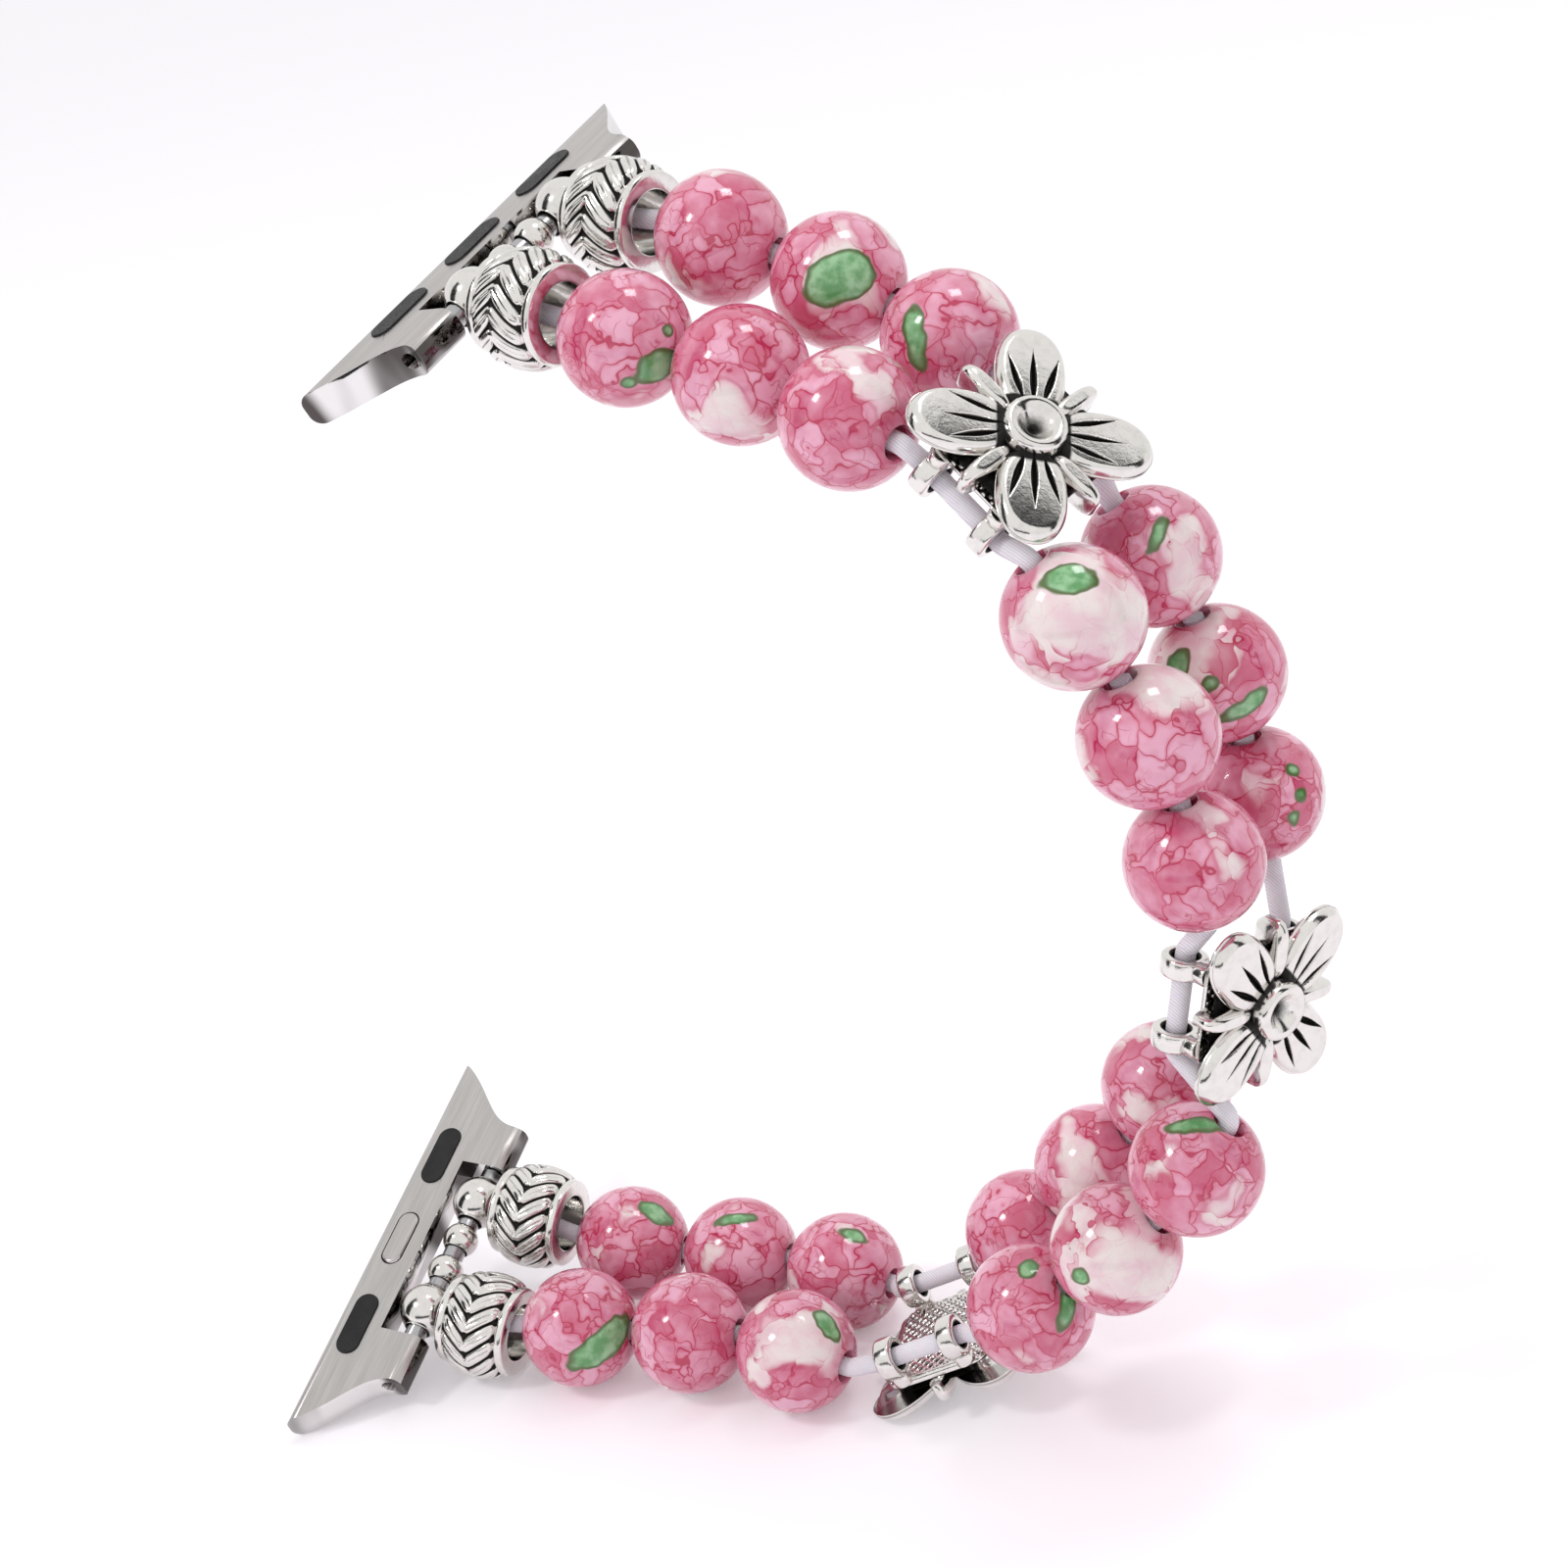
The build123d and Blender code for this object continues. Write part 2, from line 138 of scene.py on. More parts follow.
places = walk()
crossings = {"near": crossing(places, 1), "far": crossing(places, -1)}
bead_places = {}
for number, name in enumerate(STATIONS):
    if name.startswith("row"):
        for side, points in crossings.items():
            bead_places[f"{side}_bead_{name[3:]}"] = along(
                points[number], points[number + 1], places[name][1][:3, 2])
to_home = shift(*np.array(joints["near_bead_6_spin"]["pos_m"]) * 1000
                - bead_places["near_bead_6"][:3, 3])
places = {k: tuple(to_home @ p for p in v) for k, v in places.items()}
bead_places = {k: to_home @ p for k, p in bead_places.items()}
for name, place in bead_places.items():
    if np.abs(place[:3, 3] / 1000 - joints[name + "_spin"]["pos_m"]).max() > same_place:
        raise ValueError(f"{name} is not where the frame has it")
row_ends = {"lower": places["row12"][0] @ turned(*END_TURNS["lower"]),
            "upper": places["row1"][2] @ turned(*END_TURNS["upper"])}
bars = {"lower": row_ends["lower"] @ shift(-bar_run, 0, 0),
        "upper": row_ends["upper"] @ shift(bar_run, 0, 0)}
plates = {"lower": bars["lower"] @ turned(0, -lower_swivel, 0) @ turned(0, 0, 180),
          "upper": bars["upper"] @ turned(0, upper_swivel, 0)}
barrel_places = {}
for end, way in (("lower", -1), ("upper", 1)):
    for side, y in (("near", half_strand), ("far", -half_strand)):
        barrel_places[f"{side}_barrel_{end}"] = (
            row_ends[end] @ shift(way * (barrel_gap + barrel_l / 2), y, 0))


# Camera at the photograph's viewing angle

camera_at = (0.07226, -0.14103, 0.10862)
camera_heading, camera_pitch, camera_roll = 26.75, 66.76, -11.33
camera_data = bpy.data.cameras.new("camera")
camera_data.lens = 63
camera_data.sensor_width = 36
camera_data.clip_start = 0.01
camera = bpy.data.objects.new("camera", camera_data)
bpy.context.scene.collection.objects.link(camera)
camera.matrix_world = (Matrix.Translation(camera_at)
                       @ Matrix.Rotation(math.radians(camera_heading), 4, "Z")
                       @ Matrix.Rotation(math.radians(camera_pitch), 4, "X")
                       @ Matrix.Rotation(math.radians(camera_roll), 4, "Z"))
bpy.context.scene.camera = camera
camera_place = np.array(camera.matrix_world)


# Materials

def linear(r, g, b, a=1.0):
    """A colour given as 0 to 255 screen values."""
    def part(v):
        v /= 255
        return v / 12.92 if v <= 0.04045 else ((v + 0.055) / 1.055) ** 2.4
    return (part(r), part(g), part(b), a)


class Nodes:
    """Builds a material's node tree with short calls."""

    def __init__(self, name):
        self.material = bpy.data.materials.new(name)
        self.material.use_nodes = True
        self.tree = self.material.node_tree
        self.shader = self.tree.nodes["Principled BSDF"]

    def put(self, kind, inputs=None, **settings):
        node = self.tree.nodes.new(kind)
        for key, value in settings.items():
            setattr(node, key, value)
        for key, value in (inputs or {}).items():
            self.set(node.inputs[key], value)
        return node

    def set(self, socket, value):
        if isinstance(value, bpy.types.NodeSocket):
            self.tree.links.new(value, socket)
        else:
            socket.default_value = value

    def surface(self, **inputs):
        for key, value in inputs.items():
            self.set(self.shader.inputs[key.replace("_", " ")], value)

    def math(self, operation, a, b, clamp=False):
        return self.put("ShaderNodeMath", {0: a, 1: b},
                        operation=operation, use_clamp=clamp).outputs[0]

    def swing(self, value, amount):
        """A 0 to 1 value made a swing about zero, amount wide."""
        return self.math("MULTIPLY", self.math("SUBTRACT", value, 0.5), amount)

    def ramp(self, value, low, high, to_low=0.0, to_high=1.0):
        """A smooth step from to_low to to_high while value runs from low to high."""
        node = self.put("ShaderNodeMapRange",
                        {"Value": value, "From Min": low, "From Max": high,
                         "To Min": to_low, "To Max": to_high}, interpolation_type="SMOOTHSTEP")
        return node.outputs["Result"]

    def mix(self, factor, a, b):
        node = self.put("ShaderNodeMix", data_type="RGBA")
        self.set(node.inputs["Factor"], factor)
        self.set(node.inputs["A"], a)
        self.set(node.inputs["B"], b)
        return node.outputs["Result"]

    def field(self, name, output="Fac"):
        return self.put("ShaderNodeAttribute", attribute_name=name).outputs[output]

    def noise(self, vector, scale, detail, rough=0.5, output="Fac", distortion=0.0):
        node = self.put("ShaderNodeTexNoise", {"Vector": vector, "Scale": scale, "Detail": detail,
                                               "Roughness": rough, "Distortion": distortion})
        return node.outputs[output]

    def cells(self, vector, scale, randomness, feature, output):
        node = self.put("ShaderNodeTexVoronoi", {"Vector": vector, "Scale": scale,
                                                 "Randomness": randomness}, feature=feature)
        return node.outputs[output]

    def vector(self, operation, a, b):
        return self.put("ShaderNodeVectorMath", {0: a, 1: b}, operation=operation).outputs[0]

    def scaled(self, vector, scale):
        return self.put("ShaderNodeVectorMath", {0: vector, "Scale": scale},
                        operation="SCALE").outputs[0]

    def bump(self, height, strength, distance):
        node = self.put("ShaderNodeBump",
                        {"Height": height, "Strength": strength, "Distance": distance})
        self.set(self.shader.inputs["Normal"], node.outputs["Normal"])


def marble():
    """Pink cells outlined in crimson, plain cream clouds, and green patches with a darker rim.

    The cells are Voronoi cells of a point that noise has moved. The field 'pale' raises or
    lowers the clouds, and the field 'leaf' is the depth inside a green patch.
    """
    rose, blush, cell_edge = linear(208, 98, 130), linear(240, 178, 202), linear(212, 84, 120)
    cream, pink_cream = linear(243, 232, 229), linear(240, 208, 216)
    cloud_edge, crimson = linear(196, 72, 104), linear(188, 44, 84)
    leaf_green, pale_green = linear(96, 160, 98), linear(160, 208, 160)
    green_rim = linear(92, 112, 66)
    cell_scale, cell_spread, fine_scale, fine_width = 0.52, 0.95, 0.85, 0.045

    n = Nodes("marbled_bead")
    spot = n.field("spot", "Vector")
    warp = n.vector("SUBTRACT", n.noise(spot, 0.45, 2.0, output="Color"), (0.5, 0.5, 0.5))
    bent = n.vector("ADD", spot, n.scaled(warp, 3.6))
    edge = n.cells(bent, cell_scale, cell_spread, "DISTANCE_TO_EDGE", "Distance")
    part = n.put("ShaderNodeSeparateColor",
                 {0: n.cells(bent, cell_scale, cell_spread, "F1", "Color")})
    fine_edge = n.cells(n.vector("ADD", bent, (7.0, 3.0, 1.0)), fine_scale, 1.0,
                        "DISTANCE_TO_EDGE", "Distance")

    # The tone is high in the cream clouds, and its border gets a pink line
    soft = n.vector("ADD", spot, n.scaled(warp, 2.0))
    tone = n.math("ADD", n.noise(soft, 0.24, 1.0), n.math("MULTIPLY", n.field("pale"), 0.5))
    tone = n.math("ADD", tone, n.swing(part.outputs[0], 0.10))
    white = n.ramp(tone, 0.56, 0.68)
    pink = n.math("ADD", n.math("MULTIPLY", part.outputs[1], 0.55),
                  n.math("MULTIPLY", n.noise(spot, 0.7, 3.0), 0.9))
    base = n.mix(n.ramp(pink, 0.35, 1.05), rose, blush)
    base = n.mix(n.ramp(edge, 0.16, 0.0, 0.0, 0.5), base, cell_edge)
    cloud = n.mix(n.ramp(n.noise(spot, 0.6, 3.0), 0.35, 0.7), cream, pink_cream)
    base = n.mix(white, base, cloud)
    border = n.math("MULTIPLY", n.ramp(tone, 0.53, 0.585),
                    n.math("SUBTRACT", 1.0, n.ramp(tone, 0.585, 0.62)))
    base = n.mix(n.math("MULTIPLY", border, 0.45), base, cloud_edge)

    # Veins stand where the way to a cell's edge is shorter than a width that noise changes
    plain = n.math("SUBTRACT", 1.0, n.math("MULTIPLY", white, 0.92))
    strong = n.ramp(n.noise(spot, 0.33, 2.0, distortion=0.4), 0.26, 0.46)
    strong = n.math("MULTIPLY", strong, plain)
    width = n.ramp(n.noise(spot, 0.8, 2.0), 0.30, 0.72, 0.016, 0.046)
    vein = n.math("SUBTRACT", 1.0, n.math("DIVIDE", edge, width), clamp=True)
    vein = n.math("MULTIPLY", n.math("MULTIPLY", vein, 2.2, clamp=True), strong)
    fine = n.math("SUBTRACT", 1.0, n.math("DIVIDE", fine_edge, fine_width), clamp=True)
    fine = n.math("MULTIPLY", fine, n.ramp(n.noise(spot, 0.5, 2.0), 0.44, 0.60, 0.0, 0.8))
    fine = n.math("MULTIPLY", fine, plain)
    base = n.mix(n.math("MULTIPLY", n.math("MAXIMUM", vein, fine), 0.92), base, crimson)

    leaf = n.math("ADD", n.field("leaf"), n.swing(n.noise(spot, 0.9, 1.0), 0.6))
    green = n.mix(n.ramp(n.noise(spot, 1.1, 3.0), 0.35, 0.68), leaf_green, pale_green)
    base = n.mix(n.ramp(leaf, -0.12, 0.0), base, green_rim)
    base = n.mix(n.ramp(leaf, 0.04, 0.26), base, green)
    n.surface(Base_Color=base, Roughness=0.12, IOR=1.50, Coat_Weight=0.25, Coat_Roughness=0.04,
              Subsurface_Weight=0.08, Subsurface_Radius=(1.0, 0.45, 0.4),
              Subsurface_Scale=0.0010)
    n.bump(n.noise(spot, 1.2, 3.0), 0.10, 0.00005)
    return n.material


def silver(name, bright, dark, rough, grain=1.0):
    """Polished cast silver, black where the field 'hollow' is high, in the recesses."""
    n = Nodes(name)
    spot = n.field("spot", "Vector")
    patch = n.noise(spot, 1.6, 4.0, 0.6)
    speck = n.noise(spot, 9.0, 2.0, 0.6)
    dirt = n.math("ADD", n.field("hollow"), n.swing(patch, 0.25))
    dirt = n.ramp(n.math("ADD", dirt, n.swing(speck, 0.10)), 0.30, 0.72)
    worn = tuple(0.84 * v for v in bright[:3]) + (1,)
    body = n.mix(n.ramp(patch, 0.40, 0.75, 0.0, 0.6), bright, worn)
    haze = n.math("ADD", n.math("MULTIPLY", dirt, 0.35), n.swing(patch, 0.10))
    n.surface(Base_Color=n.mix(dirt, body, dark), Metallic=n.ramp(dirt, 0.3, 1.0, 1.0, 0.6),
              Roughness=n.math("ADD", rough, haze))
    height = n.math("ADD", n.noise(spot, 3.0, 3.0), n.math("MULTIPLY", speck, 0.4))
    n.bump(height, 0.20 * grain, 0.00004)
    return n.material


def plate_spot(n, place):
    """A point of a plate in the plate's own frame, in millimetres."""
    spot = n.scaled(n.put("ShaderNodeTexCoord").outputs["Object"], 1000.0)
    spot = n.vector("SUBTRACT", spot, tuple(place[:3, 3]))
    own = n.put("ShaderNodeCombineXYZ")
    for axis in range(3):
        dot = n.put("ShaderNodeVectorMath", {0: spot, 1: tuple(place[:3, axis])},
                    operation="DOT_PRODUCT")
        n.set(own.inputs[axis], dot.outputs["Value"])
    return own.outputs[0]


def brushed(name, place):
    """Brushed plate face: fine lines along the long edge, with faint wear."""
    grey, light_grey, dull_grey = linear(180, 176, 174), linear(196, 192, 190), linear(168, 164, 162)
    n = Nodes(name)
    spot = plate_spot(n, place)
    lines = n.noise(n.vector("MULTIPLY", spot, (9.0, 0.22, 9.0)), 1.0, 3.0, 0.6)
    broad = n.noise(n.vector("MULTIPLY", spot, (1.5, 0.10, 1.5)), 1.0, 2.0)
    wear = n.math("MULTIPLY", n.noise(spot, 0.35, 3.0), 0.10)
    tone = n.mix(n.ramp(lines, 0.3, 0.7), grey, light_grey)
    tone = n.mix(n.ramp(broad, 0.35, 0.7, 0.0, 0.4), tone, dull_grey)
    n.surface(Base_Color=tone, Metallic=1.0,
              Roughness=n.math("ADD", n.ramp(lines, 0.2, 0.8, 0.26, 0.36), wear))
    n.bump(lines, 0.12, 0.00002)
    return n.material


def polished(name, place):
    """Polished side faces with a painted reflection of a room in dark and light bands, and faint
    hairlines.
    """
    painted_reflection_dark, room_light = linear(84, 80, 78), linear(226, 224, 223)
    n = Nodes(name)
    spot = plate_spot(n, place)
    hair = n.noise(n.vector("MULTIPLY", spot, (1.0, 1.0, 12.0)), 1.0, 3.0)
    bands = n.noise(n.vector("MULTIPLY", spot, (0.42, 0.2, 0.1)), 1.0, 1.0, 0.4)
    # Painted reflection: the base colour swings between a dark and a light band of a room, as a
    # mirror would show it.
    n.surface(Base_Color=n.mix(n.ramp(bands, 0.40, 0.58), painted_reflection_dark, room_light), Metallic=1.0,
              Roughness=n.ramp(hair, 0.3, 0.7, 0.05, 0.12))
    n.bump(hair, 0.04, 0.00002)
    return n.material


def rubber():
    """Matt black rubber with a fine grit."""
    black, worn_black = linear(12, 12, 14), linear(26, 26, 28)
    n = Nodes("pad_rubber")
    spot = n.put("ShaderNodeTexCoord").outputs["Object"]
    grit = n.noise(spot, 5200.0, 2.0)
    worn = n.ramp(n.noise(spot, 700.0, 3.0), 0.35, 0.7)
    n.surface(Base_Color=n.mix(worn, black, worn_black), Specular_IOR_Level=0.35,
              Roughness=n.ramp(grit, 0.3, 0.7, 0.42, 0.58))
    n.bump(grit, 0.15, 0.00002)
    return n.material


def elastic():
    """White elastic cord: a fine slanted weave and a soft sheen."""
    shade, thread, grey = linear(226, 220, 231), linear(246, 243, 248), linear(212, 203, 219)
    n = Nodes("elastic_cord")
    spot = n.put("ShaderNodeTexCoord").outputs["Object"]
    weave = n.put("ShaderNodeTexWave", {"Vector": spot, "Scale": 2400.0, "Distortion": 1.5,
                                        "Detail": 1.0}, bands_direction="DIAGONAL").outputs["Fac"]
    tone = n.mix(n.ramp(weave, 0.2, 0.8), shade, thread)
    tone = n.mix(n.ramp(n.noise(spot, 900.0, 3.0), 0.4, 0.7, 0.0, 0.25), tone, grey)
    n.surface(Base_Color=tone, Roughness=0.55, Sheen_Weight=0.3, Subsurface_Weight=0.1,
              Subsurface_Scale=0.0006)
    n.bump(weave, 0.3, 0.00004)
    return n.material


MARBLE = marble()
ANTIQUE = silver("antique_silver", linear(226, 223, 219), linear(26, 24, 22), 0.15)
BRIGHT = silver("bright_silver", linear(224, 221, 217), linear(46, 43, 41), 0.14, 0.5)
STEEL = silver("spring_steel", linear(178, 178, 180), linear(70, 70, 72), 0.25, 0.5)
RUBBER, ELASTIC = rubber(), elastic()


# Mesh making

def grid(rows, cols, wrap_rows=False, wrap_cols=False):
    """Quads over a rows by cols block of points, joined end to end where it wraps."""
    i = np.arange(rows if wrap_rows else rows - 1)[:, None]
    j = np.arange(cols if wrap_cols else cols - 1)[None, :]
    a = i * cols + j
    b = i * cols + (j + 1) % cols
    c = ((i + 1) % rows) * cols + (j + 1) % cols
    d = ((i + 1) % rows) * cols + j
    return np.stack([a, b, c, d], -1).reshape(-1, 4)


class Shape:
    """Points, quads and the field 'hollow' of one piece, in its own frame in millimetres."""

    def __init__(self):
        self.points, self.quads, self.hollow, self.count = [], [], [], 0

    def add(self, points, quads, hollow=0.0, place=None):
        points = np.asarray(points, float).reshape(-1, 3)
        if place is not None:
            points = points @ place[:3, :3].T + place[:3, 3]
        self.points.append(points)
        self.quads.append(quads + self.count)
        self.hollow.append(np.broadcast_to(np.ravel(hollow), (len(points),)))
        self.count += len(points)

    def lathe(self, profile, place=None, steps=48, hollow=None):
        """Turns a closed (x, r) outline about the local X axis."""
        profile = np.asarray(profile, float)
        a = np.linspace(0, 2 * math.pi, steps, endpoint=False)
        x = np.repeat(profile[:, 0][:, None], steps, 1)
        r = profile[:, 1][:, None]
        points = np.stack([x, r * np.cos(a), r * np.sin(a)], -1)
        field = 0.0 if hollow is None else np.repeat(np.asarray(hollow, float), steps)
        self.add(points, grid(len(profile), steps, True, True)[:, ::-1], field, place)


def build(name, shape, place, body, material, replaced, extra=None, spot=None):
    """Makes a smooth mesh object from a shape; its place is in its mesh."""
    points = np.concatenate(shape.points)
    quads = np.concatenate(shape.quads)
    world = (points @ place[:3, :3].T + place[:3, 3]) / 1000
    mesh = bpy.data.meshes.new(name)
    mesh.vertices.add(len(world))
    mesh.vertices.foreach_set("co", world.astype(np.float32).ravel())
    mesh.loops.add(quads.size)
    mesh.loops.foreach_set("vertex_index", quads.astype(np.int32).ravel())
    mesh.polygons.add(len(quads))
    mesh.polygons.foreach_set("loop_start", np.arange(0, quads.size, 4, dtype=np.int32))
    mesh.update(calc_edges=True)
    mesh.polygons.foreach_set("use_smooth", np.ones(len(quads), bool))
    fields = {"hollow": np.concatenate(shape.hollow), **(extra or {})}
    for key, values in fields.items():
        layer = mesh.attributes.new(key, "FLOAT", "POINT")
        layer.data.foreach_set("value", np.asarray(values, np.float32).ravel())
    layer = mesh.attributes.new("spot", "FLOAT_VECTOR", "POINT")
    spots = points if spot is None else spot
    layer.data.foreach_set("vector", spots.astype(np.float32).ravel())
    mesh.materials.append(material)
    mesh.validate()
    piece = bpy.data.objects.new(name, mesh)
    bpy.context.scene.collection.objects.link(piece)
    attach(piece, body)
    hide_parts(*replaced)
    return piece


def rounded(points, radius, steps=4):
    """A closed outline of (x, r) corners with each corner rounded."""
    points = [np.array(p, float) for p in points]
    out = []
    for number, corner in enumerate(points):
        before, after = points[number - 1], points[(number + 1) % len(points)]
        a, b = before - corner, after - corner
        reach = min(radius, 0.45 * np.linalg.norm(a), 0.45 * np.linalg.norm(b))
        a, b = a / np.linalg.norm(a), b / np.linalg.norm(b)
        for t in np.linspace(0, 1, steps):
            out.append(corner + reach * ((1 - t) ** 2 * a + t ** 2 * b))
    return np.array(out)


# Marbled beads

# Green patches as the camera sees them, in bead radii and degrees:
# (right, up, half length, half width, lean)
GREEN = {
    "near_1": [(0.45, -0.40, 0.34, 0.24, 30), (0.05, -0.62, 0.10, 0.09, 0),
               (0.62, 0.10, 0.08, 0.08, 0)],
    "far_2": [(0.0, 0.05, 0.52, 0.36, 20)],
    "far_3": [(-0.50, 0.05, 0.42, 0.16, 100)],
    "near_4": [(-0.05, 0.50, 0.36, 0.22, 10)],
    "far_4": [(0.10, 0.30, 0.24, 0.10, 70)],
    "far_5": [(-0.55, 0.10, 0.26, 0.18, 80), (-0.10, -0.15, 0.10, 0.10, 0),
              (0.42, -0.45, 0.40, 0.14, 40)],
    "far_6": [(0.50, 0.35, 0.12, 0.11, 0), (0.62, 0.0, 0.11, 0.10, 0),
              (0.52, -0.34, 0.10, 0.10, 0)],
    "near_7": [(0.0, 0.62, 0.44, 0.13, 5)],
    "near_8": [(-0.52, -0.42, 0.14, 0.13, 0)],
    "near_9": [(-0.05, 0.58, 0.15, 0.15, 0), (0.55, 0.0, 0.34, 0.15, 75)],
    "near_10": [(0.50, 0.42, 0.30, 0.18, 120)],
    "near_12": [(0.38, -0.30, 0.62, 0.28, 40)],
    "far_12": [(0.40, 0.52, 0.32, 0.20, 150)],
    "far_11": [(-0.10, 0.62, 0.30, 0.12, 10)],
    "far_10": [(0.15, 0.60, 0.26, 0.12, 160)],
}
# Pale or pink regions: (right, up, reach, amount); above zero is whiter and below is pinker
PALE = {
    "near_1": [(0, 0, 1.2, -0.10)],
    "near_2": [(0, -0.7, 0.6, 0.5), (0, 0.3, 0.9, -0.25)],
    "near_3": [(0.2, 0.2, 0.6, 0.3), (-0.4, -0.3, 0.7, -0.3)],
    "near_4": [(0, 0, 1.3, 0.42)],
    "near_5": [(0, 0.6, 0.8, 0.5), (0, -0.6, 0.8, -0.4)],
    "near_6": [(0.4, 0.45, 0.5, 0.5), (-0.2, -0.2, 1.0, -0.3)],
    "near_7": [(0, 0, 1.2, -0.05)],
    "near_8": [(0, 0, 1.4, 0.45)],
    "near_9": [(0, 0, 1.3, -0.3)],
    "near_10": [(0, 0.2, 1.0, 0.45), (0, -0.8, 0.5, -0.6)],
    "near_11": [(0, 0, 1.4, -0.3)],
    "near_12": [(0, 0, 1.4, -0.2)],
    "far_1": [(0, 0, 1.4, -0.22)],
    "far_2": [(0, 0, 1.3, -0.1)],
    "far_3": [(0, 0, 1.3, -0.12)],
    "far_4": [(0, 0, 1.3, 0.05)],
    "far_5": [(0, 0, 1.3, 0.1)],
    "far_6": [(0, 0, 1.3, 0.05)],
    "far_7": [(0, 0, 1.3, 0.1)],
    "far_8": [(0, 0, 1.3, 0.1)],
    "far_9": [(0, 0, 1.3, -0.1)],
    "far_10": [(0, 0, 1.3, -0.2)],
    "far_11": [(0, 0, 1.3, -0.2)],
    "far_12": [(-0.3, 0.1, 0.8, 0.35), (0.3, -0.5, 0.7, -0.3)],
}
no_leaf = -3.0


def bead_outline():
    """Sphere arc, rounded bore lips and bore wall as one closed (x, r) line."""
    lip_size, wall_in = 0.12, 0.6
    edge = math.asin((bore_r + lip_size) / bead_r)
    a = np.linspace(edge, math.pi - edge, 72)
    arc = np.stack([-bead_r * np.cos(a), bead_r * np.sin(a)], 1)
    lip = bead_r * math.cos(edge)
    right = [(lip - 0.03, bore_r + 0.05), (lip - lip_size, bore_r)]
    wall = [(x, bore_r) for x in np.linspace(lip - wall_in, wall_in - lip, 4)]
    left = [(-x, r) for x, r in right[::-1]]
    return np.concatenate([arc, right, wall, left])


def camera_view(place):
    """Right, up and towards the camera, as directions at a bead."""
    forward = camera_place[:3, 3] * 1000 - place[:3, 3]
    forward /= np.linalg.norm(forward)
    right = np.cross(camera_place[:3, 1], forward)
    right /= np.linalg.norm(right)
    return right, np.cross(forward, right), forward


def seen_at(u, v, view):
    """The way to the point that shows u to the right and v up, on a ball of radius one."""
    right, up, forward = view
    return u * right + v * up + math.sqrt(max(0.02, 1 - u * u - v * v)) * forward


def green_marks(key, view, rng):
    """Middle, half length, half width and lean of each patch, with one or two on the far side."""
    forward = view[2]
    marks = [(seen_at(u, v, view), a, b, lean) for u, v, a, b, lean in GREEN.get(key, [])]
    for _ in range(2 if key in GREEN else 1):
        d = rng.normal(size=3)
        d /= np.linalg.norm(d)
        if d @ forward > -0.1:
            d -= 1.4 * (d @ forward + 0.3) * forward
            d /= np.linalg.norm(d)
        marks.append((d, rng.uniform(0.14, 0.45), rng.uniform(0.10, 0.22), rng.uniform(0, 180)))
    return marks


def leaf_field(ways, marks, view):
    """Depth in millimetres inside the deepest patch; a patch is an ellipse round its middle."""
    right, up = view[:2]
    leaf = np.full(len(ways), no_leaf)
    for d, a, b, lean in marks:
        c, s = math.cos(math.radians(lean)), math.sin(math.radians(lean))
        e1 = np.cross(up, d) if abs(up @ d) < 0.95 else np.cross(right, d)
        e1 /= np.linalg.norm(e1)
        e2 = np.cross(d, e1)
        p, q = ways @ (c * e1 + s * e2), ways @ (c * e2 - s * e1)
        depth = (1 - np.sqrt((p / a) ** 2 + (q / b) ** 2)) * min(a, b) * bead_r
        leaf = np.maximum(leaf, np.where(ways @ d > 0, depth, no_leaf))
    return leaf


def pale_field(ways, key, view):
    """Sum of bell curves of the angle to each region's middle."""
    pale = np.zeros(len(ways))
    for u, v, reach, amount in PALE.get(key, []):
        d = seen_at(u, v, view)
        d /= np.linalg.norm(d)
        pale += amount * np.exp(-(np.arccos(np.clip(ways @ d, -1, 1)) / reach) ** 2)
    return pale


outline = bead_outline()
for name, place in bead_places.items():
    side, _, number = name.split("_")
    key = f"{side}_{number}"
    rng = np.random.default_rng(int(number) + (20 if side == "far" else 0))
    shape = Shape()
    shape.lathe(outline, steps=128)
    local = shape.points[0]
    ways = local / np.maximum(np.linalg.norm(local, axis=1), 1e-9)[:, None] @ place[:3, :3].T
    view = camera_view(place)
    fields = {"leaf": leaf_field(ways, green_marks(key, view, rng), view),
              "pale": pale_field(ways, key, view)}
    build(f"{name}_marbled", shape, place, name, MARBLE, [name],
          extra=fields, spot=local + rng.uniform(-60, 60, 3))


# Engraved barrel beads

